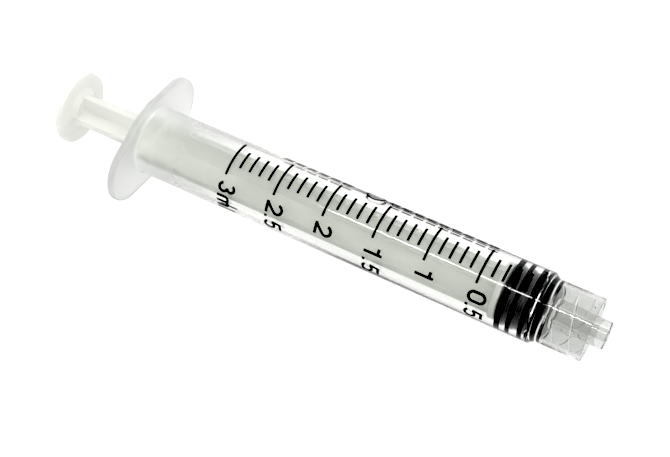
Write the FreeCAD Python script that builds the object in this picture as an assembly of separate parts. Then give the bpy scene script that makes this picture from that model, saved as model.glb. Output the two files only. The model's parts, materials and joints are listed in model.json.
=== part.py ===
import FreeCAD, Part
import math
import os
from FreeCAD import Matrix, Vector

# A 3 ml syringe with a Luer lock outlet, in millimetres. Its axis is X. The origin is the centre of
# the outlet's end face and the outlet points to +X. The flange's wings reach along Y and +Z is up
# when the syringe lies on a table. Everything is placed by its distance behind the outlet's end.

# Driving dimensions: barrel
BORE_RADIUS = 4.5
WALL = 0.7
DOSE_PER_LINE = 100.0  # cubic millimetres between two graduation lines
LINES = 30
ZERO_LINE_X = -10.44
FLANGE_FRONT_X = -72.4
FLANGE_THICKNESS = 1.1
FLANGE_HUB_RADIUS = 6.8
FLANGE_WING_RADIUS = 5.15
FLANGE_WING_OFFSET = 6.0
FLANGE_FLAT = 6.6  # from the axis to the flat between the wings, which keeps the syringe from rolling
FLANGE_ROUND = 0.3
LEAD_IN = 0.3
BEAD_X = -70.4
BEAD_HEIGHT = 0.2
BEAD_HALF_WIDTH = 0.5
SHOULDER_X = -9.45
EDGE = 0.2  # bevel on the barrel's outer edges

# Driving dimensions: Luer lock outlet
TIP_RADIUS = 1.965
TIP_TAPER = 0.03  # growth of the radius per millimetre, a 6 % taper on the diameter
TIP_PROJECTION = 2.1
CHANNEL_RADIUS = 0.9
COLLAR_LENGTH = 6.6
COLLAR_RADIUS = 4.6
COLLAR_DEPTH = 6.0
THREAD_MAJOR_RADIUS = 4.0
THREAD_MINOR_RADIUS = 3.5
THREAD_LEAD = 5.0
THREAD_STARTS = 2
THREAD_CREST = 0.4
THREAD_ROOT = 1.1
THREAD_FIRST_X = -7.0
THREAD_LENGTH = 4.2
THREAD_FIRST_ANGLE = 132.0

# Driving dimensions: stopper
STOPPER_FACE_X = -10.25
STOPPER_LENGTH = 4.64
RIBS = ((3.4, 4.0), (1.95, 2.75), (0.15, 1.0))  # front and rear end of each rib, behind the stopper's face
RIB_SLOPE = 0.15
RIB_CLEARANCE = 0.03
GROOVE_DEPTH = 0.38
NOSE_LENGTH = 1.15
NOSE_TIP_RADIUS = 0.8
NOSE_GAP = 0.12
SOCKET_CLEARANCE = 0.04

# Driving dimensions: plunger rod
OVERALL_LENGTH = 86.5
THUMB_RADIUS = 5.6
THUMB_THICKNESS = 0.9
THUMB_ROUND = 0.3
GRIP_GROOVES = (1.5, 2.9, 4.3)
GRIP_GROOVE_WIDTH = 0.35
GRIP_GROOVE_DEPTH = 0.15
WEB_RADIUS = 4.1
WEB_THICKNESS = 1.0
NECK_RADIUS = 2.85
NECK_FRONT_X = -74.6
NECK_FLARE_LENGTH = 0.8
NECK_FLARE = 0.9
OVERLAP = 0.1  # how far the rod's stretches reach into each other before they are fused
STEP_LENGTH = 2.2
ROD_TURN = -12.0
DISC_RADIUS = 4.2
DISC_THICKNESS = 1.05
STEM_RADIUS = 1.2
STEM_LENGTH = 1.0
BARB_RADIUS = 1.9
BARB_LENGTH = 1.7
BARB_STRAIGHT = 0.5

# Driving dimensions: printed scale. Angles go round the barrel from +Z towards -Y.
INK = 0.03
LINE_WIDTH = 0.36
SHORT_LINE_ANGLE = 16.5
LONG_LINE_ANGLE = 34.0
LINES_PER_NUMERAL = 5
NUMERAL_ANGLE = 44.0
NUMERAL_BELOW_LINE = 0.63
DIGIT_HEIGHT = 2.8
DIGIT_WIDTH = 1.86
STROKE = 0.42
LETTER_GAP = 0.4
CUTTER_DEPTH = 2.0  # how far a character's cutter starts below the barrel's surface
SIDE_PRINT_LINES = (27, 3)  # the scale's lines between which the side print runs
SIDE_PRINT_ANGLES = (-44.5, -53.5)
SIDE_MARK_LENGTH = 1.45
SIDE_MARK_WIDTH = 0.36
SIDE_MARK_PITCH = 1.9
SIDE_RING_RADIUS = 1.55
SIDE_RING_X = -36.9

# Worked out from the driving dimensions
BARREL_RADIUS = BORE_RADIUS + WALL
LINE_PITCH = DOSE_PER_LINE / (math.pi * BORE_RADIUS**2)
FLANGE_REAR_X = FLANGE_FRONT_X - FLANGE_THICKNESS
COLLAR_FRONT_X = -TIP_PROJECTION
COLLAR_REAR_X = COLLAR_FRONT_X - COLLAR_LENGTH
COLLAR_FLOOR_X = COLLAR_FRONT_X - COLLAR_DEPTH
BORE_FRONT_X = STOPPER_FACE_X + NOSE_GAP
CHANNEL_REAR_X = BORE_FRONT_X + NOSE_LENGTH
STOPPER_REAR_X = STOPPER_FACE_X - STOPPER_LENGTH
DISC_FRONT_X = STOPPER_REAR_X - SOCKET_CLEARANCE
DISC_REAR_X = DISC_FRONT_X - DISC_THICKNESS
THUMB_REAR_X = -OVERALL_LENGTH
THUMB_FRONT_X = THUMB_REAR_X + THUMB_THICKNESS
AXIS = Vector(1, 0, 0)
CENTRE = Vector(0, 0, 0)


def turned(outline):
    """The solid that a closed outline of (x, radius) points makes when it turns about X."""
    points = [Vector(x, radius, 0) for x, radius in outline]
    wire = Part.makePolygon(points + points[:1])
    return Part.Face(wire).revolve(CENTRE, AXIS, 360)


def disc(x, radius, length):
    """A cylinder about X, from x towards +X."""
    return Part.makeCylinder(radius, length, Vector(x, 0, 0), AXIS)


def rounded(solid, radius, chosen):
    """The solid with the edges that chosen(edge) picks rounded."""
    return solid.makeFillet(radius, [edge for edge in solid.Edges if chosen(edge)])


def about_axis(shape, degrees):
    """The shape turned about X, from +Y towards +Z."""
    shape.rotate(CENTRE, AXIS, degrees)
    return shape


def barrel_wall():
    """Tube, shoulder, lock collar and Luer cone as one turned wall."""
    bead_rear = BEAD_X - BEAD_HALF_WIDTH
    bead_front = BEAD_X + BEAD_HALF_WIDTH
    bead_radius = BORE_RADIUS - BEAD_HEIGHT
    cone_floor_radius = TIP_RADIUS - TIP_TAPER * COLLAR_FLOOR_X
    return turned([
        (FLANGE_REAR_X, BORE_RADIUS + LEAD_IN),
        (FLANGE_REAR_X, BARREL_RADIUS),
        (SHOULDER_X - EDGE, BARREL_RADIUS),
        (SHOULDER_X, BARREL_RADIUS - EDGE / 2),
        (COLLAR_REAR_X, COLLAR_RADIUS),
        (COLLAR_FRONT_X - EDGE / 2, COLLAR_RADIUS),
        (COLLAR_FRONT_X, COLLAR_RADIUS - EDGE / 2),
        (COLLAR_FRONT_X, THREAD_MAJOR_RADIUS + EDGE / 2),
        (COLLAR_FRONT_X - EDGE / 2, THREAD_MAJOR_RADIUS),
        (COLLAR_FLOOR_X, THREAD_MAJOR_RADIUS),
        (COLLAR_FLOOR_X, cone_floor_radius),
        (-EDGE, TIP_RADIUS + TIP_TAPER * EDGE),
        (0, TIP_RADIUS - EDGE),
        (0, CHANNEL_RADIUS),
        (CHANNEL_REAR_X, CHANNEL_RADIUS),
        (BORE_FRONT_X, BORE_RADIUS),
        (bead_front, BORE_RADIUS),
        (BEAD_X, bead_radius),
        (bead_rear, BORE_RADIUS),
        (FLANGE_REAR_X + LEAD_IN, BORE_RADIUS),
    ])


def flange():
    """Finger flange: a hub with two flats between two round wings, joined by straight tangents."""
    lean = math.asin((FLANGE_HUB_RADIUS - FLANGE_WING_RADIUS) / FLANGE_WING_OFFSET)
    corners = []
    for side_y, side_z in ((1, 1), (1, -1), (-1, -1), (-1, 1)):
        hub = Vector(0, side_y * FLANGE_HUB_RADIUS * math.sin(lean),
                     side_z * FLANGE_HUB_RADIUS * math.cos(lean))
        wing = Vector(0, side_y * (FLANGE_WING_OFFSET + FLANGE_WING_RADIUS * math.sin(lean)),
                      side_z * FLANGE_WING_RADIUS * math.cos(lean))
        corners.append((hub, wing))
    (hub_a, wing_a), (hub_b, wing_b), (hub_c, wing_c), (hub_d, wing_d) = corners
    reach = FLANGE_WING_OFFSET + FLANGE_WING_RADIUS
    edges = [
        Part.makeLine(hub_a, wing_a),
        Part.Arc(wing_a, Vector(0, reach, 0), wing_b).toShape(),
        Part.makeLine(wing_b, hub_b),
        Part.Arc(hub_b, Vector(0, 0, -FLANGE_HUB_RADIUS), hub_c).toShape(),
        Part.makeLine(hub_c, wing_c),
        Part.Arc(wing_c, Vector(0, -reach, 0), wing_d).toShape(),
        Part.makeLine(wing_d, hub_d),
        Part.Arc(hub_d, Vector(0, 0, FLANGE_HUB_RADIUS), hub_a).toShape(),
    ]
    plate = Part.Face(Part.Wire(edges)).extrude(Vector(FLANGE_THICKNESS, 0, 0))
    plate = plate.common(Part.makeBox(FLANGE_THICKNESS, 2 * reach, 2 * FLANGE_FLAT,
                                      Vector(0, -reach, -FLANGE_FLAT)))
    plate = rounded(plate, FLANGE_ROUND, lambda edge: edge.BoundBox.XLength < 1e-6)
    plate.translate(Vector(FLANGE_REAR_X, 0, 0))
    return plate.cut(disc(FLANGE_REAR_X, BARREL_RADIUS - WALL / 2, FLANGE_THICKNESS))


def lock_thread(start):
    """One start of the collar's right-hand inner thread, as a ridge that winds about X."""
    height = THREAD_MAJOR_RADIUS - THREAD_MINOR_RADIUS
    buried = 0.2
    root = THREAD_MAJOR_RADIUS + buried
    flare = THREAD_ROOT / 2 + buried * (THREAD_ROOT - THREAD_CREST) / 2 / height
    spine = Part.makeHelix(THREAD_LEAD, THREAD_LENGTH, THREAD_MINOR_RADIUS)
    section = Part.makePolygon([
        Vector(THREAD_MINOR_RADIUS, 0, -THREAD_CREST / 2),
        Vector(THREAD_MINOR_RADIUS, 0, THREAD_CREST / 2),
        Vector(root, 0, flare),
        Vector(root, 0, -flare),
        Vector(THREAD_MINOR_RADIUS, 0, -THREAD_CREST / 2),
    ])
    ridge = Part.Wire(spine).makePipeShell([section], True, True)
    ridge.rotate(CENTRE, Vector(0, 1, 0), 90)
    about_axis(ridge, 90 + THREAD_FIRST_ANGLE + 360 * start / THREAD_STARTS)
    ridge.translate(Vector(THREAD_FIRST_X, 0, 0))
    return ridge


def barrel():
    """The whole barrel, one clear moulding."""
    ridges = [lock_thread(start) for start in range(THREAD_STARTS)]
    return barrel_wall().fuse([flange()] + ridges).removeSplitter()


def stopper():
    """Rubber stopper: three ribs that seal in the bore, a cone in front and the rod's socket."""
    rib = BORE_RADIUS - RIB_CLEARANCE
    groove = BORE_RADIUS - GROOVE_DEPTH
    nose_x = STOPPER_FACE_X + NOSE_LENGTH - NOSE_GAP
    outline = [(STOPPER_REAR_X, STEM_RADIUS + SOCKET_CLEARANCE), (STOPPER_REAR_X, groove)]
    for front, rear in RIBS:
        outline += [(STOPPER_FACE_X - rear - RIB_SLOPE, groove), (STOPPER_FACE_X - rear, rib),
                    (STOPPER_FACE_X - front, rib), (STOPPER_FACE_X - front + RIB_SLOPE, groove)]
    outline[-1] = (STOPPER_FACE_X, rib - RIB_SLOPE)
    stem_x = STOPPER_REAR_X + STEM_LENGTH - 2 * SOCKET_CLEARANCE
    barb_x = DISC_FRONT_X + STEM_LENGTH + BARB_STRAIGHT
    barb_front = DISC_FRONT_X + STEM_LENGTH + BARB_LENGTH + SOCKET_CLEARANCE
    return turned(outline + [
        (nose_x, NOSE_TIP_RADIUS),
        (nose_x, 0),
        (barb_front, 0),
        (barb_front, BARB_RADIUS / 2 + SOCKET_CLEARANCE),
        (barb_x, BARB_RADIUS + SOCKET_CLEARANCE),
        (stem_x, BARB_RADIUS + SOCKET_CLEARANCE),
        (stem_x, STEM_RADIUS + SOCKET_CLEARANCE),
    ])


def cross(x_rear, x_front, radius):
    """Two crossed webs with round tips."""
    length = x_front - x_rear
    webs = []
    for degrees in (0, 90):
        web = Part.makeBox(length, 2 * radius, WEB_THICKNESS, Vector(x_rear, -radius, -WEB_THICKNESS / 2))
        webs.append(about_axis(web, degrees))
    return webs[0].fuse(webs[1]).common(disc(x_rear, radius, length))


def plunger_rod():
    """Rod with a thumb rest, a narrow neck, four webs, a disc behind the stopper and a barb."""
    thumb = disc(THUMB_REAR_X, THUMB_RADIUS, THUMB_THICKNESS)
    thumb = rounded(thumb, THUMB_ROUND, lambda edge: edge.Length > 2 * THUMB_RADIUS)
    for radius in GRIP_GROOVES:
        outer = disc(THUMB_REAR_X, radius + GRIP_GROOVE_WIDTH / 2, GRIP_GROOVE_DEPTH)
        inner = disc(THUMB_REAR_X, radius - GRIP_GROOVE_WIDTH / 2, GRIP_GROOVE_DEPTH)
        thumb = thumb.cut(outer.cut(inner))
    flare_x = THUMB_FRONT_X + NECK_FLARE_LENGTH
    flare = turned([
        (THUMB_FRONT_X - OVERLAP, 0), (THUMB_FRONT_X - OVERLAP, NECK_RADIUS + NECK_FLARE),
        (THUMB_FRONT_X + OVERLAP, NECK_RADIUS + NECK_FLARE / 2), (flare_x, NECK_RADIUS), (flare_x, 0),
    ])
    neck = cross(flare_x - OVERLAP, NECK_FRONT_X + OVERLAP, NECK_RADIUS)
    step_x = NECK_FRONT_X + STEP_LENGTH
    step = cross(NECK_FRONT_X, step_x, WEB_RADIUS).common(turned([
        (NECK_FRONT_X, 0), (NECK_FRONT_X, NECK_RADIUS), (step_x, WEB_RADIUS), (step_x, 0),
    ]))
    webs = cross(step_x, DISC_REAR_X + OVERLAP, WEB_RADIUS)
    stem_x = DISC_FRONT_X - OVERLAP
    barb_x = DISC_FRONT_X + STEM_LENGTH
    head = turned([
        (stem_x, 0), (stem_x, STEM_RADIUS), (barb_x, STEM_RADIUS), (barb_x, BARB_RADIUS),
        (barb_x + BARB_STRAIGHT, BARB_RADIUS), (barb_x + BARB_LENGTH, BARB_RADIUS / 2),
        (barb_x + BARB_LENGTH, 0),
    ])
    backing = disc(DISC_REAR_X, DISC_RADIUS, DISC_THICKNESS)
    rod = thumb.fuse([flare, neck, step, webs, backing, head]).removeSplitter()
    return about_axis(rod, ROD_TURN)


def line_x(number):
    """Where graduation line number lies, counted from the zero line."""
    return ZERO_LINE_X - number * LINE_PITCH


def ring_piece(x, half_angle):
    """One printed line: a thin arc on the barrel, centred on +Z."""
    low, high = BARREL_RADIUS, BARREL_RADIUS + INK
    corners = [Vector(x - LINE_WIDTH / 2, 0, low), Vector(x + LINE_WIDTH / 2, 0, low),
               Vector(x + LINE_WIDTH / 2, 0, high), Vector(x - LINE_WIDTH / 2, 0, high)]
    face = Part.Face(Part.makePolygon(corners + corners[:1]))
    return about_axis(face.revolve(CENTRE, AXIS, 2 * half_angle), -half_angle)


def graduation_lines(long_ones):
    """All long lines, or all short ones, as separate arcs."""
    numbers = [n for n in range(LINES + 1) if (n % LINES_PER_NUMERAL == 0) == long_ones]
    half_angle = LONG_LINE_ANGLE if long_ones else SHORT_LINE_ANGLE
    return Part.makeCompound([ring_piece(line_x(n), half_angle) for n in numbers])


def bar(x0, y0, x1, y1):
    """A straight pen stroke in the plane of a character."""
    along = Vector(x1 - x0, y1 - y0, 0)
    side = Vector(-along.y, along.x, 0) * (STROKE / 2 / along.Length)
    start, end = Vector(x0, y0, 0), Vector(x1, y1, 0)
    corners = [start + side, start - side, end - side, end + side]
    return Part.Face(Part.makePolygon(corners + corners[:1]))


def bow(x, y, radius, start, end):
    """A round pen stroke about (x, y), from angle start to angle end in degrees."""
    inner, outer = radius - STROKE / 2, radius + STROKE / 2

    def at(r, degrees):
        a = math.radians(degrees)
        return Vector(x + r * math.cos(a), y + r * math.sin(a), 0)

    middle = (start + end) / 2
    return Part.Face(Part.Wire([
        Part.Arc(at(outer, start), at(outer, middle), at(outer, end)).toShape(),
        Part.makeLine(at(outer, end), at(inner, end)),
        Part.Arc(at(inner, end), at(inner, middle), at(inner, start)).toShape(),
        Part.makeLine(at(inner, start), at(outer, start)),
    ]))


def character(name):
    """(width, pen strokes) of one character, with its lower left corner at the origin."""
    pen = STROKE / 2
    top = DIGIT_HEIGHT - pen
    right = DIGIT_WIDTH - pen
    middle = DIGIT_WIDTH / 2
    bowl = middle - pen
    low = pen + bowl
    high = top - bowl
    if name == "0":
        return DIGIT_WIDTH, [bar(pen, low, pen, high), bar(right, low, right, high),
                             bow(middle, high, bowl, 0, 180), bow(middle, low, bowl, 180, 360)]
    if name == "1":
        stem = DIGIT_WIDTH * 0.6
        flag = DIGIT_HEIGHT * 0.78
        return DIGIT_WIDTH, [bar(stem, 0, stem, DIGIT_HEIGHT), bar(pen, flag, stem, flag)]
    if name == "2":
        hook = math.radians(-35)
        return DIGIT_WIDTH, [bow(middle, high, bowl, -36, 170),
                             bar(middle + bowl * math.cos(hook), high + bowl * math.sin(hook), pen, pen),
                             bar(0, pen, DIGIT_WIDTH, pen)]
    if name == "3":
        lower = bowl * 0.9
        upper = (DIGIT_HEIGHT - STROKE) / 2 - lower
        return DIGIT_WIDTH, [bow(middle, top - upper, upper, -88, 160),
                             bow(middle, pen + lower, lower, -165, 88)]
    if name == "5":
        return DIGIT_WIDTH, [bow(middle, low, bowl, -150, 140),
                             bar(pen, low + bowl / 2, 2 * pen, DIGIT_HEIGHT), bar(pen, top, right, top)]
    if name == ".":
        return STROKE, [bar(pen, 0, pen, STROKE)]
    if name == "m":
        arch = DIGIT_WIDTH * 0.27
        shoulder = DIGIT_HEIGHT * 0.72 - pen - arch
        stems = [bar(pen + 2 * arch * k, 0, pen + 2 * arch * k, shoulder) for k in range(3)]
        arches = [bow(pen + arch + 2 * arch * k, shoulder, arch, 0, 180) for k in range(2)]
        return STROKE + 4 * arch, stems + arches
    return STROKE, [bar(pen, 0, pen, DIGIT_HEIGHT)]


def film(x, length):
    """The thin layer of ink that the print is cut from, from x towards +X."""
    return disc(x, BARREL_RADIUS + INK, length).cut(disc(x, BARREL_RADIUS, length))


def printed(text, x, angle):
    """Text on the barrel, read round it from angle towards -Y, with its tops towards +X."""
    layer = film(x - STROKE, DIGIT_HEIGHT + 2 * STROKE)
    pieces = []
    for name in text:
        width, strokes = character(name)
        turn = math.radians(angle) + width / 2 / BARREL_RADIUS
        across = Vector(0, -math.cos(turn), -math.sin(turn))
        out = Vector(0, -math.sin(turn), math.cos(turn))
        place = Matrix(across.x, 1, out.x, x, across.y, 0, out.y, 0, across.z, 0, out.z, 0)
        cutters = []
        for stroke in strokes:
            cutter = stroke.extrude(Vector(0, 0, CUTTER_DEPTH + WALL))
            cutter.translate(Vector(-width / 2, 0, BARREL_RADIUS - CUTTER_DEPTH))
            cutters.append(cutter.transformGeometry(place))
        glyph = cutters[0].fuse(cutters[1:]) if len(cutters) > 1 else cutters[0]
        pieces += layer.common(glyph.removeSplitter()).Solids
        angle += math.degrees((width + LETTER_GAP) / BARREL_RADIUS)
    return Part.makeCompound(pieces)


def side_print():
    """Plain decoration in place of lettering: two rows of short marks and a ring."""
    start, end = (line_x(line) for line in SIDE_PRINT_LINES)
    layer = film(start, end - start)
    low = BARREL_RADIUS - CUTTER_DEPTH
    depth = CUTTER_DEPTH + WALL
    cutters = []
    for angle in SIDE_PRINT_ANGLES:
        for k in range(1, int((end - start) / SIDE_MARK_PITCH)):
            x = start + SIDE_MARK_PITCH * k
            if abs(x - SIDE_RING_X) > SIDE_RING_RADIUS + SIDE_MARK_LENGTH:
                corner = Vector(x - SIDE_MARK_LENGTH / 2, -SIDE_MARK_WIDTH / 2, low)
                mark = Part.makeBox(SIDE_MARK_LENGTH, SIDE_MARK_WIDTH, depth, corner)
                cutters.append(about_axis(mark, angle))
    ring = disc(0, SIDE_RING_RADIUS, depth).cut(disc(0, SIDE_RING_RADIUS - SIDE_MARK_WIDTH, depth))
    ring.rotate(CENTRE, Vector(0, 1, 0), -90)
    ring.translate(Vector(SIDE_RING_X, 0, low))
    cutters.append(about_axis(ring, sum(SIDE_PRINT_ANGLES) / 2))
    return Part.makeCompound([solid for cutter in cutters for solid in layer.common(cutter).Solids])


NUMERALS = {"numeral_3ml": ("3ml", 30), "numeral_2_5": ("2.5", 25), "numeral_2": ("2", 20),
            "numeral_1_5": ("1.5", 15), "numeral_1": ("1", 10), "numeral_0_5": ("0.5", 5)}


def nodes():
    """Every node of the syringe by name."""
    made = {
        "barrel": barrel(),
        "stopper": stopper(),
        "plunger_rod": plunger_rod(),
        "long_lines": graduation_lines(True),
        "short_lines": graduation_lines(False),
        "side_print": side_print(),
    }
    for name, (text, number) in NUMERALS.items():
        made[name] = printed(text, line_x(number) - NUMERAL_BELOW_LINE, NUMERAL_ANGLE)
    return made


os.makedirs("parts", exist_ok=True)
for name, shape in nodes().items():
    shape.exportStep(f"parts/{name}.step")
    print(name, len(shape.Solids), round(shape.Volume, 3), shape.isValid())
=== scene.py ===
import bpy
import json
import math
from bpy.props import FloatProperty, FloatVectorProperty, IntProperty, PointerProperty
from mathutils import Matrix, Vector


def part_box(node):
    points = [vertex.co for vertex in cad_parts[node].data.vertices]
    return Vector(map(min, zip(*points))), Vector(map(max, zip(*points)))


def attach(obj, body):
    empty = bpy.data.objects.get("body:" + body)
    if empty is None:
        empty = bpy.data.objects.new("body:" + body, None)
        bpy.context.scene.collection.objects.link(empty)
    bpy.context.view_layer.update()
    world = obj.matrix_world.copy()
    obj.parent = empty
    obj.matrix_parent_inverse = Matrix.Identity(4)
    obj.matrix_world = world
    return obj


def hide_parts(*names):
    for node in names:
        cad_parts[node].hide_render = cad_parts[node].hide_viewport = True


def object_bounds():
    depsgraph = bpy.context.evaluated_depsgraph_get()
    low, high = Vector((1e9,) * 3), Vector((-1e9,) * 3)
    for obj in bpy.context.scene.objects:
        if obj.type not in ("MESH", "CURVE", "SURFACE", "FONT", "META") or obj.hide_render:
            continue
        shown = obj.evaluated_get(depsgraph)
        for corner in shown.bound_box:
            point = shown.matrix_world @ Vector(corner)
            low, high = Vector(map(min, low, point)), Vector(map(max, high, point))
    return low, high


bl_info = {
    "name": "Three millilitre syringe",
    "version": (1, 0, 0),
    "blender": (4, 5, 0),
    "location": "3D View > Sidebar > Syringe",
    "description": "Models the looks of a Luer lock syringe around its packed frame",
    "category": "Object",
}

MM = 0.001
ARC_STEPS = 5
BEAD_STEPS = 8  # on each side of the bead's middle
FINE_SEGMENTS = 96
SMOOTH_ANGLE = math.radians(32)
SOCKET_GAP = 0.04 * MM  # between the rod and the stopper, where they face each other
LIGHT_BOUNCES = 32  # a ray through the collar crosses many clear walls
NOISE_LOW, NOISE_HIGH = 0.3, 0.7  # nearly all of a noise pattern lies between these values
RIBS = ((3.4, 4.4), (1.95, 2.75), (0.15, 1.0))  # start and end of each stopper rib behind the face, in mm

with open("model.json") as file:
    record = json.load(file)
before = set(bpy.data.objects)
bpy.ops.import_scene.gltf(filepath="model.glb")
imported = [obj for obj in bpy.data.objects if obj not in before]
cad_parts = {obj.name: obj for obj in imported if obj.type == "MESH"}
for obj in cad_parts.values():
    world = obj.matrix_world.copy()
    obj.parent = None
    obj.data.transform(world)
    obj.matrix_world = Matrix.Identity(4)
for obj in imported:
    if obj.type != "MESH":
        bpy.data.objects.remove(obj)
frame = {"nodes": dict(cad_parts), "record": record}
CAD_LOW, CAD_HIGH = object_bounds()
BARREL_LOW, BARREL_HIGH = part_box("barrel")
ROD_LOW, ROD_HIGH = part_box("plunger_rod")
STOPPER_LOW, STOPPER_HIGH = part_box("stopper")
MOUNTS = {mount["name"]: mount for mount in frame["record"]["mounts"]}
BARREL_RADIUS = MOUNTS["barrel_body"]["dims"]["r_mm"] * MM
CHANNEL_RADIUS = MOUNTS["outlet_channel"]["dims"]["r_mm"] * MM
CHANNEL_LENGTH = MOUNTS["outlet_channel"]["dims"]["length_mm"] * MM
COLLAR_FRONT = MOUNTS["luer_lock"]["pos_m"][0]


def linear(hex_colour):
    """An sRGB hex colour as linear red, green, blue and alpha."""
    channels = [int(hex_colour[i:i + 2], 16) / 255 for i in (0, 2, 4)]
    return tuple(c / 12.92 if c <= 0.04045 else ((c + 0.055) / 1.055) ** 2.4 for c in channels) + (1.0,)


def amount(name, description, default, unit="NONE"):
    """A number property."""
    return FloatProperty(name=name, description=description, default=default, unit=unit)


def length(name, description, millimetres):
    """A size property, given in millimetres and kept in metres."""
    return FloatProperty(name=name, description=description, default=millimetres * MM,
                         min=0.0, unit="LENGTH", precision=5)


def colour(name, description, hex_colour):
    """A colour property."""
    return FloatVectorProperty(name=name, description=description, default=linear(hex_colour),
                               size=4, min=0.0, max=1.0, subtype="COLOR")


def angle(name, description, degrees):
    """An angle property, given in degrees."""
    return FloatProperty(name=name, description=description, default=math.radians(degrees), subtype="ANGLE")


# Sizes and colours that a user would change

class BarrelSizes(bpy.types.PropertyGroup):
    segments: IntProperty(name="Segments", description="Faces round the barrel", default=144, min=24)
    bore_radius: length("Bore radius", "Inner radius of the tube", 4.5)
    lead_in: length("Lead-in", "Chamfer at the bore's rear edge", 0.3)
    bead_distance: length("Bead distance", "From the barrel's rear end to the retaining bead", 3.1)
    bead_height: length("Bead height", "How far the retaining bead stands into the bore", 0.2)
    bead_width: length("Bead width", "Length of the retaining bead along the bore", 1.4)
    flange_thickness: length("Flange thickness", "Thickness of the finger flange", 1.1)
    hub_radius: length("Hub radius", "Radius of the flange between its wings, before it is cut flat", 6.8)
    wing_radius: length("Wing radius", "Radius of each round wing", 5.15)
    wing_fillet: length("Flange fillet", "Radius where the flange meets the tube", 0.35)
    rim_round: length("Rim rounding", "Radius of the flange's rim", 0.3)
    shoulder_distance: length("Shoulder distance", "From the outlet's end to the shoulder", 9.45)
    shoulder_length: length("Shoulder length", "Length of the slope from the tube to the collar", 0.75)
    bore_end_distance: length("Bore end distance", "From the outlet's end to where the bore closes in", 10.13)
    collar_radius: length("Collar radius", "Outer radius of the lock collar", 4.6)
    collar_depth: length("Collar depth", "Depth of the collar's socket", 6.0)
    tip_radius: length("Tip radius", "Radius of the cone at its end", 1.965)
    tip_taper: amount("Tip taper", "Growth of the cone's radius along it", 0.03)
    tip_round: length("Tip rounding", "Radius of the cone's edge at its end", 0.25)
    thread_major: length("Thread major radius", "Radius at the root of the inner thread", 4.0)
    thread_minor: length("Thread minor radius", "Radius at the crest of the inner thread", 3.8)
    thread_lead: length("Thread lead", "Advance of the thread in one turn", 5.0)
    thread_crest: length("Thread crest", "Width of the thread's crest", 0.1)
    thread_root: length("Thread root", "Width of the thread's root", 0.35)
    thread_first: length("Thread start", "From the outlet's end to where the thread starts", 7.0)
    thread_length: length("Thread length", "How far each start runs along the collar", 4.2)
    thread_turn: angle("Thread turn", "Where the first start begins, from +Y towards +Z", 132.25)


class PlungerSizes(bpy.types.PropertyGroup):
    thumb_thickness: length("Thumb rest thickness", "Thickness of the thumb rest", 0.9)
    thumb_round: length("Thumb rest rounding", "Radius of the thumb rest's rim", 0.3)
    groove_spacing: length("Grip groove spacing", "Distance between the thumb rest's ring grooves", 1.4)
    groove_width: length("Grip groove width", "Width of each ring groove", 0.35)
    groove_depth: length("Grip groove depth", "Depth of each ring groove", 0.15)
    neck_radius: length("Neck radius", "Reach of the webs behind the flange", 2.85)
    neck_length: length("Neck length", "From the thumb rest's face to the step in the webs", 11.9)
    step_length: length("Step length", "Length of the slope from the neck to the webs", 2.2)
    web_radius: length("Web radius", "Reach of the four webs inside the barrel", 4.1)
    web_thickness: length("Web thickness", "Thickness of each web", 1.0)
    disc_radius: length("Disc radius", "Radius of the disc behind the stopper", 4.2)
    disc_thickness: length("Disc thickness", "Thickness of the disc behind the stopper", 1.05)
    stem_radius: length("Stem radius", "Radius of the stem in the stopper", 1.2)
    stem_length: length("Stem length", "Length of the stem in the stopper", 1.0)
    barb_radius: length("Barb radius", "Radius of the barb that holds the stopper", 1.9)
    web_turn: angle("Web turn", "How far the webs are turned from the flange's wings", -12)


class StopperSizes(bpy.types.PropertyGroup):
    segments: IntProperty(name="Segments", description="Faces round the stopper", default=128, min=24)
    squeeze: length("Squeeze", "How far the ribs and the nose press into the bore", 0.01)
    groove_radius: length("Groove radius", "Radius at the bottom of the grooves", 4.2)
    edge_round: length("Edge rounding", "Radius of the ribs' edges", 0.12)
    nose_length: length("Nose length", "Length of the cone in front of the ribs", 1.03)
    seat_radius: length("Seat radius", "Radius inside which the nose presses on the barrel's end", 4.0)


class SurfaceColours(bpy.types.PropertyGroup):
    clear: colour("Clear plastic", "Clarified polypropylene of the barrel", "FEFFFD")
    milky: colour("Milky plastic", "Natural polypropylene of the plunger rod", "F6F7F2")
    rubber: colour("Rubber", "Black rubber of the stopper", "08080B")
    ink: colour("Ink", "Printed scale", "060607")
    floor: colour("Floor", "Acrylic sheet under the syringe", "606060")


class StageSettings(bpy.types.PropertyGroup):
    camera_place: FloatVectorProperty(name="Camera place", description="Where the camera stands", precision=5,
                                      default=(11.3 * MM, -83.9 * MM, 154.2 * MM), subtype="TRANSLATION")
    camera_turn: FloatVectorProperty(name="Camera turn", description="The camera's rotation", subtype="EULER",
                                     default=[math.radians(d) for d in (32.2, 2.42, 28.48)])
    lens: amount("Lens", "Focal length on a 36 mm sensor", 68.8, "CAMERA")
    floor_radius: amount("Floor radius", "Radius of the floor", 3.0, "LENGTH")
    floor_glow: amount("Floor glow", "Light that comes up through the floor", 0.94)
    front_wall: amount("Front wall", "Brightness of the wall on the viewer's side", 1.14)
    back_wall: amount("Back wall", "Brightness of the wall behind the syringe", 1.5)
    ceiling: amount("Ceiling", "The ceiling's share of the walls' brightness", 1.15)
    veil: amount("Veil", "Haze of reflections taken off the blacks", 0.1)
    strip_power: amount("Strip power", "Power of the strip light", 2.8, "POWER")
    strip_length: amount("Strip length", "Length of the strip light", 1.0, "LENGTH")
    strip_width: amount("Strip width", "Width of the strip light", 0.03, "LENGTH")
    strip_shift: amount("Strip shift", "How far the light is moved towards the outlet", 0.4, "LENGTH")
    strip_distance: amount("Strip distance", "From the barrel to the strip light", 0.6, "LENGTH")
    strip_lean: angle("Strip lean", "How far the light leans from straight above, to the viewer's side", 14)


# Modelling helpers

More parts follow.
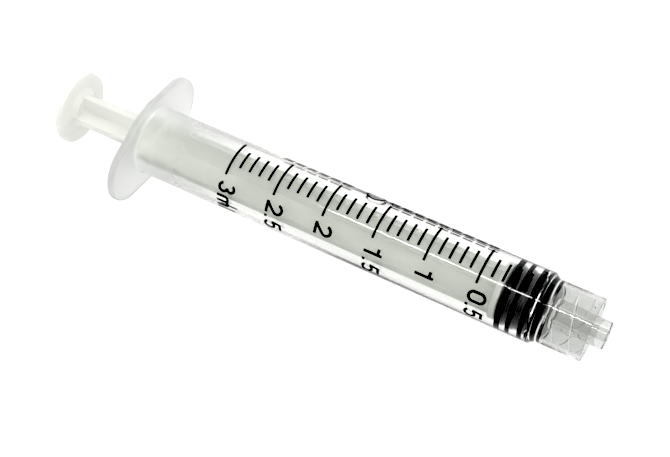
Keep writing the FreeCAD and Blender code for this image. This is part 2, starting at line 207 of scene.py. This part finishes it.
def end_edit(merge=False):
    """Closes the mesh, with doubles merged and faces turned outwards."""
    bpy.ops.mesh.select_all(action="SELECT")
    if merge:
        bpy.ops.mesh.remove_doubles(threshold=1e-7)
    bpy.ops.mesh.normals_make_consistent(inside=False)
    bpy.ops.object.mode_set(mode="OBJECT")


def named(name):
    """The active object, renamed."""
    piece = bpy.context.active_object
    piece.name = piece.data.name = name
    return piece


def turned(name, outline, segments, wall=False):
    """A solid, or a hollow wall, turned about X: a ring is pulled along the outline's (x, radius) points."""
    bpy.ops.object.select_all(action="DESELECT")
    x, radius = outline[0]
    bpy.ops.mesh.primitive_circle_add(vertices=segments, radius=radius, location=(x, 0, 0),
                                      rotation=(0, math.pi / 2, 0), fill_type="NOTHING" if wall else "NGON")
    bpy.ops.object.transform_apply()
    bpy.ops.object.mode_set(mode="EDIT")
    bpy.ops.mesh.select_all(action="SELECT")
    for next_x, next_radius in outline[1:] + (outline[:1] if wall else []):
        bpy.ops.mesh.extrude_region_move(TRANSFORM_OT_translate={"value": (next_x - x, 0, 0)})
        bpy.ops.transform.resize(value=(1, next_radius / radius, next_radius / radius),
                                 center_override=(next_x, 0, 0))
        x, radius = next_x, next_radius
    end_edit(merge=wall)
    return named(name)


def arc(x, radius, size, start, end):
    """Points of a rounding of that size about (x, radius), from angle start to angle end in degrees."""
    turns = [math.radians(start + (end - start) * k / ARC_STEPS) for k in range(ARC_STEPS + 1)]
    return [(x + size * math.cos(t), radius + size * math.sin(t)) for t in turns]


def joined(piece, tool, operation="UNION"):
    """Piece with tool added or cut away, and tool removed."""
    bpy.ops.object.select_all(action="DESELECT")
    bpy.context.view_layer.objects.active = piece
    piece.select_set(True)
    bpy.ops.object.modifier_add(type="BOOLEAN")
    modifier = piece.modifiers[-1]
    modifier.operation, modifier.solver, modifier.object = operation, "EXACT", tool
    bpy.ops.object.modifier_apply(modifier=modifier.name)
    bpy.data.objects.remove(tool)
    return piece


def finished(piece, material, body, replaced):
    """Smooths the piece, gives it its material and puts it on its body in place of its CAD node."""
    bpy.ops.object.select_all(action="DESELECT")
    bpy.context.view_layer.objects.active = piece
    piece.select_set(True)
    bpy.ops.object.shade_smooth_by_angle(angle=SMOOTH_ANGLE)
    piece.data.materials.clear()
    piece.data.materials.append(material)
    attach(piece, body)
    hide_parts(replaced)


# Materials

def add_node(tree, kind, inputs=(), **settings):
    """A new node with its settings, and with its sockets set or linked."""
    node = tree.nodes.new(kind)
    for name, value in settings.items():
        setattr(node, name, value)
    for name, value in dict(inputs).items():
        if isinstance(value, bpy.types.NodeSocket):
            tree.links.new(value, node.inputs[name])
        else:
            node.inputs[name].default_value = value
    return node


def new_material(name, shader_inputs):
    """A material with one Principled shader, as (material, tree, shader)."""
    material = bpy.data.materials.new(name)
    material.use_nodes = True
    tree = material.node_tree
    tree.nodes.clear()
    shader = add_node(tree, "ShaderNodeBsdfPrincipled", shader_inputs)
    add_node(tree, "ShaderNodeOutputMaterial", {"Surface": shader.outputs["BSDF"]})
    return material, tree, shader


def pattern(tree, size, detail=2.0, stretch=(1, 1, 1)):
    """Noise whose grains are about that size, stretched along the axes given."""
    place = add_node(tree, "ShaderNodeTexCoord")
    mapping = add_node(tree, "ShaderNodeMapping", {
        "Vector": place.outputs["Object"], "Scale": [1 / (size * s) for s in stretch]})
    return add_node(tree, "ShaderNodeTexNoise", {
        "Vector": mapping.outputs["Vector"], "Scale": 1.0, "Detail": detail})


def spread(tree, noise, low, high):
    """Noise turned into values from low to high."""
    return add_node(tree, "ShaderNodeMapRange", {
        "Value": noise.outputs["Fac"], "From Min": NOISE_LOW, "From Max": NOISE_HIGH,
        "To Min": low, "To Max": high,
    }).outputs["Result"]


def shades(tree, noise, dark, light):
    """Noise turned into colours from dark to light."""
    ramp = add_node(tree, "ShaderNodeValToRGB", {"Fac": noise.outputs["Fac"]})
    for element, place, value in zip(ramp.color_ramp.elements, (NOISE_LOW, NOISE_HIGH), (dark, light)):
        element.position, element.color = place, value
    return ramp.outputs["Color"]


def scaled(rgba, factor):
    """A colour made darker or lighter."""
    return tuple(min(1.0, c * factor) for c in rgba[:3]) + (1.0,)


def along_x(tree, rear, front, low, high):
    """Values that change from low to high between two places along X."""
    place = add_node(tree, "ShaderNodeTexCoord")
    parts = add_node(tree, "ShaderNodeSeparateXYZ", {"Vector": place.outputs["Object"]})
    return add_node(tree, "ShaderNodeMapRange", {
        "Value": parts.outputs["X"], "From Min": rear, "From Max": front, "To Min": low, "To Max": high,
    }).outputs["Result"]


def link_bump(tree, shader, noise, depth):
    """Relief of that depth on the shader."""
    bump = add_node(tree, "ShaderNodeBump", {
        "Height": noise.outputs["Fac"], "Distance": depth, "Strength": 1.0})
    tree.links.new(bump.outputs["Normal"], shader.inputs["Normal"])


def clear_polypropylene(colours):
    """Clarified polypropylene, injection moulded in a polished tool: clear and glossy.

    It is matt near the flange, where it cools slowly. Where it is thick, in the flange and collar, its colour
    is darkened: a painted shade for the dimmer light seen through them.
    """
    material, tree, shader = new_material("clarified_polypropylene", {
        "IOR": 1.49, "Transmission Weight": 1.0})
    streak_shade, thick_painted_shade = 0.985, 0.78
    flange_painted_shade_share, matt_length, matt_roughness = 0.5, 18 * MM, 0.4
    streaks = pattern(tree, 1.6 * MM, stretch=(6, 1, 1))
    thin = shades(tree, streaks, scaled(colours.clear, streak_shade), colours.clear)
    # painted shade: a darker grey is mixed fully into the collar's colour and half into the flange's colour
    collar = along_x(tree, -CHANNEL_LENGTH - MM, -CHANNEL_LENGTH + MM, 0.0, 1.0)
    flange = along_x(tree, BARREL_LOW.x + MM, BARREL_LOW.x + 2 * MM, flange_painted_shade_share, 0.0)
    painted_shade_mask = add_node(tree, "ShaderNodeMath", {0: collar, 1: flange}, operation="MAXIMUM")
    tone_and_painted_shade = add_node(tree, "ShaderNodeMixRGB", {
        "Fac": painted_shade_mask.outputs["Value"], "Color1": thin, "Color2": scaled(colours.clear, thick_painted_shade)})
    tree.links.new(tone_and_painted_shade.outputs["Color"], shader.inputs["Base Color"])
    gloss = spread(tree, streaks, 0.03, 0.07)
    matt = along_x(tree, BARREL_LOW.x, BARREL_LOW.x + matt_length, matt_roughness, 0.0)
    rough = add_node(tree, "ShaderNodeMath", {0: gloss, 1: matt}, operation="ADD")
    tree.links.new(rough.outputs["Value"], shader.inputs["Roughness"])
    link_bump(tree, shader, pattern(tree, 3 * MM, stretch=(4, 1, 1)), 0.004 * MM)
    return material


def milky_polypropylene(colours):
    """Natural polypropylene, injection moulded: light goes in and scatters, so it looks milky."""
    material, tree, shader = new_material("natural_polypropylene", {
        "IOR": 1.49, "Transmission Weight": 0.38})
    flow = pattern(tree, 2.2 * MM, stretch=(3, 1, 1))
    white = shades(tree, flow, scaled(colours.milky, 0.95), colours.milky)
    tree.links.new(white, shader.inputs["Base Color"])
    tree.links.new(spread(tree, flow, 0.4, 0.5), shader.inputs["Roughness"])
    link_bump(tree, shader, pattern(tree, 0.6 * MM), 0.006 * MM)
    return material


def black_rubber(colours):
    """Bromobutyl rubber, moulded and wiped with silicone oil: deep black with a soft sheen."""
    material, tree, shader = new_material("bromobutyl_rubber", {"IOR": 1.52, "Specular IOR Level": 0.2})
    grain = pattern(tree, 0.5 * MM, detail=4.0)
    black = shades(tree, grain, scaled(colours.rubber, 0.6), colours.rubber)
    tree.links.new(black, shader.inputs["Base Color"])
    tree.links.new(spread(tree, grain, 0.3, 0.45), shader.inputs["Roughness"])
    link_bump(tree, shader, grain, 0.006 * MM)
    return material


def printed_ink(colours):
    """Pad printed ink: a thin black film with a slight sheen and a thinner look in spots."""
    material, tree, shader = new_material("printed_ink", {"IOR": 1.5, "Specular IOR Level": 0.15})
    spots = pattern(tree, 0.25 * MM, detail=3.0)
    black = shades(tree, spots, colours.ink, scaled(colours.ink, 3.0))
    tree.links.new(black, shader.inputs["Base Color"])
    tree.links.new(spread(tree, spots, 0.35, 0.55), shader.inputs["Roughness"])
    return material


def opal_acrylic(colours, glow):
    """Opal acrylic lit from below: matt and glowing white, so that hardly any shadow shows on it."""
    material, tree, shader = new_material("opal_acrylic", {
        "Roughness": 0.9, "Specular IOR Level": 0.1,
        "Emission Color": (1, 1, 1, 1), "Emission Strength": glow})
    sheet = pattern(tree, 40 * MM)
    white = shades(tree, sheet, scaled(colours.floor, 0.99), colours.floor)
    tree.links.new(white, shader.inputs["Base Color"])
    return material


# Operators

class SYRINGE_OT_barrel(bpy.types.Operator):
    """Models the clear barrel with its flange, collar, cone and thread"""
    bl_idname = "syringe.barrel"
    bl_label = "Barrel"

    def wall_outline(self, s):
        """The barrel's wall as (x, radius) points, from the rear edge of the bore round to the bead."""
        rear, tube = BARREL_LOW.x, BARREL_RADIUS
        flange_front = rear + s.flange_thickness
        hub, rim, fillet = s.hub_radius, s.rim_round, s.wing_fillet
        shoulder, collar_rear = -s.shoulder_distance, s.shoulder_length - s.shoulder_distance
        floor = COLLAR_FRONT - s.collar_depth
        edge = 0.12 * MM
        cone = s.tip_radius - s.tip_taper * floor
        bead = rear + s.bead_distance
        return (
            [(rear, s.bore_radius + s.lead_in)]
            + arc(rear + rim, hub - rim, rim, 180, 90)
            + arc(flange_front - rim, hub - rim, rim, 90, 0)
            + arc(flange_front + fillet, tube + fillet, fillet, 180, 270)
            + arc(shoulder - edge, tube - edge, edge, 90, 20)
            + [(collar_rear - edge, s.collar_radius + edge / 2), (collar_rear + edge, s.collar_radius)]
            + arc(COLLAR_FRONT - edge, s.collar_radius - edge, edge, 90, 0)
            + [(COLLAR_FRONT, s.thread_major + edge), (COLLAR_FRONT - edge, s.thread_major)]
            + [(floor + edge, s.thread_major), (floor, s.thread_major - edge)]
            + [(floor, cone + edge), (floor + edge, cone)]
            + arc(-s.tip_round, s.tip_radius - s.tip_round, s.tip_round, 90, 0)
            + [(0, CHANNEL_RADIUS + edge / 2), (-edge / 2, CHANNEL_RADIUS), (-CHANNEL_LENGTH, CHANNEL_RADIUS)]
            + [(-s.bore_end_distance, s.bore_radius)]
            + [(bead + s.bead_width * k / (2 * BEAD_STEPS),
                s.bore_radius - s.bead_height * math.cos(math.pi * k / (2 * BEAD_STEPS)) ** 2)
               for k in range(BEAD_STEPS, -BEAD_STEPS - 1, -1)]
            + [(rear + s.lead_in, s.bore_radius)]
        )

    def flange_reach(self, s, turn):
        """Distance from the axis to the flange's edge, where turn is measured from the wings' line."""
        hub, wing = s.hub_radius, s.wing_radius
        offset = BARREL_HIGH.y - wing
        lean = math.asin((hub - wing) / offset)
        if turn >= math.pi / 2 - lean:
            return min(hub, BARREL_HIGH.z / math.sin(turn))
        if turn <= math.atan2(wing * math.cos(lean), offset + wing * math.sin(lean)):
            return offset * math.cos(turn) + math.sqrt(wing ** 2 - (offset * math.sin(turn)) ** 2)
        return min(hub / math.sin(lean + turn), BARREL_HIGH.z / math.sin(turn))

    def pull_wings(self, s, piece):
        """Pulls the round flange out to its two wings and in to its two flats."""
        slack = 1.01  # takes in the points where the rim's rounding starts
        for vertex in piece.data.vertices:
            y, z = vertex.co.y, vertex.co.z
            radius = math.hypot(y, z)
            if radius > s.hub_radius - s.rim_round * slack:
                reach = radius - s.hub_radius + self.flange_reach(s, math.atan2(abs(z), abs(y)))
                vertex.co.y, vertex.co.z = y * reach / radius, z * reach / radius

    def thread(self, s, turn, steps=36):
        """One start of the lock thread: a flat section pulled and turned along the collar."""
        buried = 0.2 * MM
        height = s.thread_major - s.thread_minor + buried
        middle = s.thread_minor + height / 2
        bpy.ops.object.select_all(action="DESELECT")
        bpy.ops.mesh.primitive_plane_add(size=1, location=(-s.thread_first, middle, 0))
        ridge = named("lock_thread")
        for vertex in ridge.data.vertices:
            outer = vertex.co.y > 0
            vertex.co.x *= s.thread_root if outer else s.thread_crest
            vertex.co.y *= height
        bpy.ops.object.transform_apply()
        bpy.ops.object.mode_set(mode="EDIT")
        bpy.ops.mesh.select_all(action="SELECT")
        step_length = s.thread_length / steps
        step_turn = 2 * math.pi * s.thread_length / s.thread_lead / steps
        for _ in range(steps):
            bpy.ops.mesh.extrude_region_move(TRANSFORM_OT_translate={"value": (step_length, 0, 0)})
            bpy.ops.transform.rotate(value=-step_turn, orient_axis="X", center_override=(0, 0, 0))
        bpy.ops.mesh.select_all(action="SELECT")
        bpy.ops.transform.rotate(value=-turn, orient_axis="X", center_override=(0, 0, 0))
        end_edit()
        return ridge

    def execute(self, context):
        s = context.scene.syringe_barrel
        piece = turned("clear_barrel", self.wall_outline(s), s.segments, wall=True)
        self.pull_wings(s, piece)
        for start in range(2):
            joined(piece, self.thread(s, s.thread_turn + math.pi * start))
        finished(piece, clear_polypropylene(context.scene.syringe_colours), "barrel",
                 "barrel")
        return {"FINISHED"}


class SYRINGE_OT_plunger_rod(bpy.types.Operator):
    """Models the milky plunger rod with its thumb rest, webs, disc and barb"""
    bl_idname = "syringe.plunger_rod"
    bl_label = "Plunger rod"

    def thumb_rest(self, s):
        """A round rest with ring grooves behind and a short cone in front."""
        rear, radius, rim = ROD_LOW.x, ROD_HIGH.y, s.thumb_round
        front = rear + s.thumb_thickness
        centre_radius = 0.3 * MM
        # distance ahead of the rest and reach past the neck, where the cone meets the neck
        flare = ((0.0, 0.6 * MM), (0.25 * MM, 0.2 * MM), (0.9 * MM, -0.2 * MM))
        grooves = []
        for k in (1, 2, 3):
            middle, half = k * s.groove_spacing, s.groove_width / 2
            grooves += [(rear, middle - half), (rear + s.groove_depth, middle - half / 2),
                        (rear + s.groove_depth, middle + half / 2), (rear, middle + half)]
        outline = (
            [(rear, centre_radius)] + grooves
            + arc(rear + rim, radius - rim, rim, 180, 90)
            + arc(front - rim, radius - rim, rim, 90, 0)
            + [(front + x, s.neck_radius + reach) for x, reach in flare]
        )
        return turned("plunger_rod_moulding", outline, FINE_SEGMENTS)

    def web(self, s, turn):
        """A flat web pulled from the neck through the step to the disc."""
        inside_flare, inside_disc = 0.5 * MM, 0.1 * MM  # how far the web starts and ends inside them
        start = ROD_LOW.x + s.thumb_thickness + inside_flare
        neck_front = ROD_LOW.x + s.neck_length
        web_front = STOPPER_LOW.x - s.disc_thickness + inside_disc
        bpy.ops.object.select_all(action="DESELECT")
        bpy.ops.mesh.primitive_plane_add(size=1, location=(start, 0, 0), rotation=(0, math.pi / 2, 0))
        bpy.ops.object.transform_apply()
        bpy.ops.object.mode_set(mode="EDIT")
        bpy.ops.mesh.select_all(action="SELECT")
        bpy.ops.transform.resize(value=(1, 2 * s.neck_radius, s.web_thickness), center_override=(start, 0, 0))
        x = start
        for next_x, growth in ((neck_front, 1), (neck_front + s.step_length, s.web_radius / s.neck_radius),
                               (web_front, 1)):
            bpy.ops.mesh.extrude_region_move(TRANSFORM_OT_translate={"value": (next_x - x, 0, 0)})
            bpy.ops.transform.resize(value=(1, growth, 1), center_override=(next_x, 0, 0))
            x = next_x
        bpy.ops.mesh.select_all(action="SELECT")
        bpy.ops.transform.rotate(value=-turn, orient_axis="X", center_override=(0, 0, 0))
        end_edit()
        return named("web")

    def head(self, s):
        """The disc behind the stopper with the stem and barb that hold it."""
        rear = STOPPER_LOW.x - s.disc_thickness
        front = STOPPER_LOW.x - SOCKET_GAP
        barb = front + s.stem_length
        rim, barb_straight = 0.2 * MM, 0.5 * MM
        outline = (
            [(rear, s.disc_radius - rim)] + arc(rear + rim, s.disc_radius - rim, rim, 170, 90)
            + arc(front - rim, s.disc_radius - rim, rim, 90, 0)
            + [(front, s.stem_radius), (barb, s.stem_radius), (barb, s.barb_radius)]
            + [(barb + barb_straight, s.barb_radius), (ROD_HIGH.x, s.barb_radius / 2)]
        )
        return turned("head", outline, FINE_SEGMENTS)

    def execute(self, context):
        s = context.scene.syringe_plunger
        piece = self.thumb_rest(s)
        webs = joined(self.web(s, s.web_turn), self.web(s, s.web_turn + math.pi / 2))
        joined(webs, self.head(s))
        joined(piece, webs)
        bpy.ops.object.modifier_add(type="BEVEL")
        bevel = piece.modifiers[-1]
        bevel.width, bevel.segments, bevel.angle_limit = 0.12 * MM, 2, math.radians(40)
        bpy.ops.object.modifier_apply(modifier=bevel.name)
        finished(piece, milky_polypropylene(context.scene.syringe_colours), "plunger_rod",
                 "plunger_rod")
        return {"FINISHED"}


class SYRINGE_OT_stopper(bpy.types.Operator):
    """Models the black rubber stopper with its ribs, nose and socket"""
    bl_idname = "syringe.stopper"
    bl_label = "Stopper"

    def rib(self, s, rear, front, top):
        """A rounded rib that presses into the bore."""
        edge = s.edge_round
        return ([(rear - edge / 2, s.groove_radius)] + arc(rear + edge, top - edge, edge, 180, 90)
                + arc(front - edge, top - edge, edge, 90, 0) + [(front + edge / 2, s.groove_radius)])

    def execute(self, context):
        s, rod = context.scene.syringe_stopper, context.scene.syringe_plunger
        barrel = context.scene.syringe_barrel
        rear, face = STOPPER_LOW.x, STOPPER_HIGH.x - s.nose_length
        edge, overlap, barb_room = 0.1 * MM, 0.1 * MM, 0.6 * MM
        stem_front = rear + rod.stem_length - 2 * SOCKET_GAP
        stem, socket = rod.stem_radius + SOCKET_GAP, rod.barb_radius + SOCKET_GAP
        top = barrel.bore_radius + s.squeeze
        seat = barrel.bore_radius - s.seat_radius
        cone_slope = (barrel.bore_end_distance - CHANNEL_LENGTH) / (barrel.bore_radius - CHANNEL_RADIUS)
        ribs = []
        for front, back in RIBS:
            ribs += self.rib(s, face - back * MM, face - front * MM, top)
        outline = (
            [(stem_front, stem), (rear, stem)]
            + arc(rear + edge, s.groove_radius - edge, edge, 180, 90)
            + ribs[:-1]
            + [(-barrel.bore_end_distance + seat * cone_slope, barrel.bore_radius - seat + s.squeeze)]
            + [(-CHANNEL_LENGTH, CHANNEL_RADIUS + s.squeeze)]
        )
        piece = turned("rubber_stopper", outline, s.segments)
        cavity = turned("socket", [(stem_front - overlap, socket), (stem_front + barb_room, socket),
                                   (ROD_HIGH.x + SOCKET_GAP, socket / 2)], FINE_SEGMENTS)
        finished(joined(piece, cavity, "DIFFERENCE"), black_rubber(context.scene.syringe_colours),
                 "stopper", "stopper")
        return {"FINISHED"}


class SYRINGE_OT_scale(bpy.types.Operator):
    """Inks the printed lines, numerals and side marks"""
    bl_idname = "syringe.scale"
    bl_label = "Printed scale"

    def execute(self, context):
        ink = printed_ink(context.scene.syringe_colours)
        for row in frame["record"]["subparts"]:
            if row["material_slot"] == "black_ink":
                film = frame["nodes"][row["node"]]
                film.data.materials.clear()
                film.data.materials.append(ink)
        return {"FINISHED"}


class SYRINGE_OT_stage(bpy.types.Operator):
    """Sets up the floor, the white surroundings, the strip light and the camera"""
    bl_idname = "syringe.stage"
    bl_label = "Stage"

    def floor(self, context, s):
        """A glowing sheet that touches the flange and the barrel's shoulder."""
        rear = Vector((BARREL_LOW.x, 0, BARREL_LOW.z))
        front = Vector((-context.scene.syringe_barrel.shoulder_distance, 0, -BARREL_RADIUS))
        slope = math.atan2(front.z - rear.z, front.x - rear.x)
        bpy.ops.object.select_all(action="DESELECT")
        bpy.ops.mesh.primitive_circle_add(vertices=FINE_SEGMENTS, radius=s.floor_radius, location=rear,
                                          rotation=(0, -slope, 0), fill_type="NGON")
        floor = named("floor")
        floor.data.materials.append(opal_acrylic(context.scene.syringe_colours, s.floor_glow))

    def surroundings(self, context, s):
        """White walls and ceiling, brighter behind the syringe than on the viewer's side."""
        world = bpy.data.worlds.new("white_room")
        world.use_nodes = True
        tree = world.node_tree
        tree.nodes.clear()
        direction = add_node(tree, "ShaderNodeTexCoord")
        parts = add_node(tree, "ShaderNodeSeparateXYZ", {"Vector": direction.outputs["Generated"]})
        ramp = add_node(tree, "ShaderNodeValToRGB", {"Fac": parts.outputs["Z"]})
        wall, ceiling = ramp.color_ramp.elements
        wall.position, wall.color = 0.45, (1, 1, 1, 1)
        ceiling.position, ceiling.color = 0.7, (s.ceiling, s.ceiling, s.ceiling, 1)
        strength = add_node(tree, "ShaderNodeMapRange", {
            "Value": parts.outputs["Y"], "From Min": -1.0, "To Min": s.front_wall, "To Max": s.back_wall})
        sky = add_node(tree, "ShaderNodeBackground", {
            "Color": ramp.outputs["Color"], "Strength": strength.outputs["Result"]})
        add_node(tree, "ShaderNodeOutputWorld", {"Surface": sky.outputs["Background"]})
        context.scene.world = world

    def strip_light(self, s):
        """A long thin light beside the barrel, which draws the bright line along it."""
        middle = (CAD_LOW + CAD_HIGH) / 2
        place = middle + s.strip_distance * Vector((0, -math.sin(s.strip_lean), math.cos(s.strip_lean)))
        place.x += s.strip_shift
        bpy.ops.object.light_add(type="AREA", location=place, rotation=(-s.strip_lean, 0, 0))
        light = bpy.context.active_object
        light.name = "strip_light"
        light.data.shape, light.data.size, light.data.size_y = "RECTANGLE", s.strip_length, s.strip_width
        light.data.energy = s.strip_power
        light.visible_diffuse = False

    def camera(self, context, s):
        bpy.ops.object.camera_add(location=s.camera_place, rotation=s.camera_turn)
        camera = context.active_object
        camera.data.lens, camera.data.sensor_width = s.lens, 36.0
        camera.data.clip_start, camera.data.clip_end = 0.01, 20.0
        context.scene.camera = camera

    def execute(self, context):
        s = context.scene.syringe_stage
        self.floor(context, s)
        self.surroundings(context, s)
        self.strip_light(s)
        self.camera(context, s)
        view = context.scene.view_settings
        view.view_transform = "Standard"
        view.use_curve_mapping = True
        view.curve_mapping.black_level = (s.veil, s.veil, s.veil)
        view.curve_mapping.update()
        cycles = context.scene.cycles
        cycles.max_bounces = cycles.transmission_bounces = cycles.glossy_bounces = LIGHT_BOUNCES
        return {"FINISHED"}


class SYRINGE_PT_panel(bpy.types.Panel):
    """Lists the steps that make the syringe"""
    bl_idname = "SYRINGE_PT_panel"
    bl_label = "Syringe"
    bl_space_type = "VIEW_3D"
    bl_region_type = "UI"
    bl_category = "Syringe"

    def draw(self, context):
        for step in STEPS:
            self.layout.operator(step.bl_idname)


STEPS = (SYRINGE_OT_barrel, SYRINGE_OT_plunger_rod, SYRINGE_OT_stopper, SYRINGE_OT_scale, SYRINGE_OT_stage)
GROUPS = {"syringe_barrel": BarrelSizes, "syringe_plunger": PlungerSizes, "syringe_stopper": StopperSizes,
          "syringe_colours": SurfaceColours, "syringe_stage": StageSettings}


def register():
    for group in GROUPS.values():
        bpy.utils.register_class(group)
    for name, group in GROUPS.items():
        setattr(bpy.types.Scene, name, PointerProperty(type=group))
    for step in STEPS:
        bpy.utils.register_class(step)
    bpy.utils.register_class(SYRINGE_PT_panel)


def unregister():
    bpy.utils.unregister_class(SYRINGE_PT_panel)
    for step in reversed(STEPS):
        bpy.utils.unregister_class(step)
    for name in GROUPS:
        delattr(bpy.types.Scene, name)
    for group in reversed(list(GROUPS.values())):
        bpy.utils.unregister_class(group)


def main():
    register()
    bpy.ops.syringe.barrel()
    bpy.ops.syringe.plunger_rod()
    bpy.ops.syringe.stopper()
    bpy.ops.syringe.scale()
    bpy.ops.syringe.stage()


if __name__ == "__main__":
    main()
